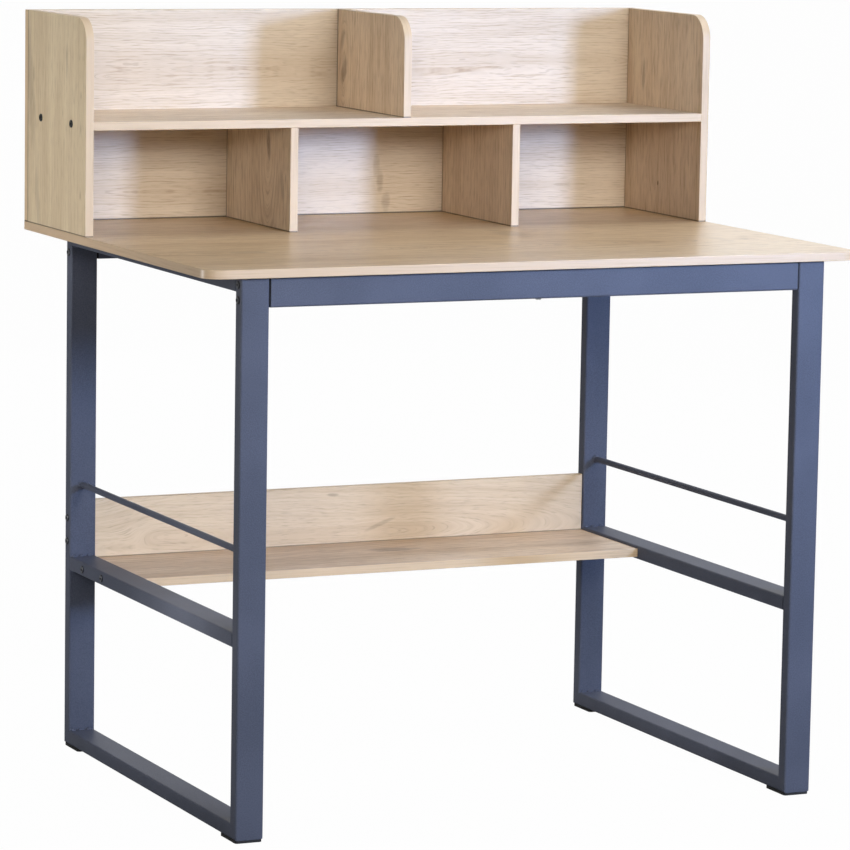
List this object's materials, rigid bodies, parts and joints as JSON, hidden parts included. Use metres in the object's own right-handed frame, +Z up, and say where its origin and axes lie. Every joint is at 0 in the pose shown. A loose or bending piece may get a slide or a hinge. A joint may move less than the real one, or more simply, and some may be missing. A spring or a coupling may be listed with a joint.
{
  "type": "student desk with hutch",
  "caption": "Student desk: thin oak-look top on bolted steel side frames, open hutch with bays along the rear edge, low shelf with a back panel between the frames.",
  "frame": {"origin": "on the floor, under the middle of the tabletop", "axes": "+Z up, +Y to the rear where the hutch stands, +X to the sitter's right"},
  "size_m": [0.9736, 0.71, 1.064],
  "materials": {
    "oak_laminate": "light oak laminate, satin, with pale edge bands",
    "frame_coat": "blue-grey powder coat, fine texture",
    "foot_plastic": "black moulded plastic",
    "bolt_coat": "black oxide, satin",
    "zinc_steel": "zinc plated",
    "dowel_wood": "plain beech"
  },
  "bodies": {
    "root": {"apron_bolts": "bolt_coat", "apron_end_plates": "frame_coat", "apron_weld_nuts": "zinc_steel", "barrel_nuts": "zinc_steel", "divider_dowels": "dowel_wood", "front_apron": "frame_coat", "hutch_back_panel": "oak_laminate", "hutch_left_panel": "oak_laminate", "hutch_lower_left_divider": "oak_laminate", "hutch_lower_right_divider": "oak_laminate", "hutch_right_panel": "oak_laminate", "hutch_screws": "zinc_steel", "hutch_shelf": "oak_laminate", "hutch_shelf_bolts": "bolt_coat", "hutch_upper_divider": "oak_laminate", "left_foot_rail": "frame_coat", "left_front_foot_pad": "foot_plastic", "left_front_leg": "frame_coat", "left_guard_rod": "frame_coat", "left_rear_foot_pad": "foot_plastic", "left_rear_leg": "frame_coat", "left_shelf_rail": "frame_coat", "left_top_rail": "frame_coat", "lower_back_panel": "oak_laminate", "lower_bolts": "bolt_coat", "lower_shelf": "oak_laminate", "rear_apron": "frame_coat", "right_foot_rail": "frame_coat", "right_front_foot_pad": "foot_plastic", "right_front_leg": "frame_coat", "right_guard_rod": "frame_coat", "right_rear_foot_pad": "foot_plastic", "right_rear_leg": "frame_coat", "right_shelf_rail": "frame_coat", "right_top_rail": "frame_coat", "tabletop": "oak_laminate", "tabletop_apron_screws": "zinc_steel", "tabletop_rail_screws": "zinc_steel"}
  },
  "joints": []
}
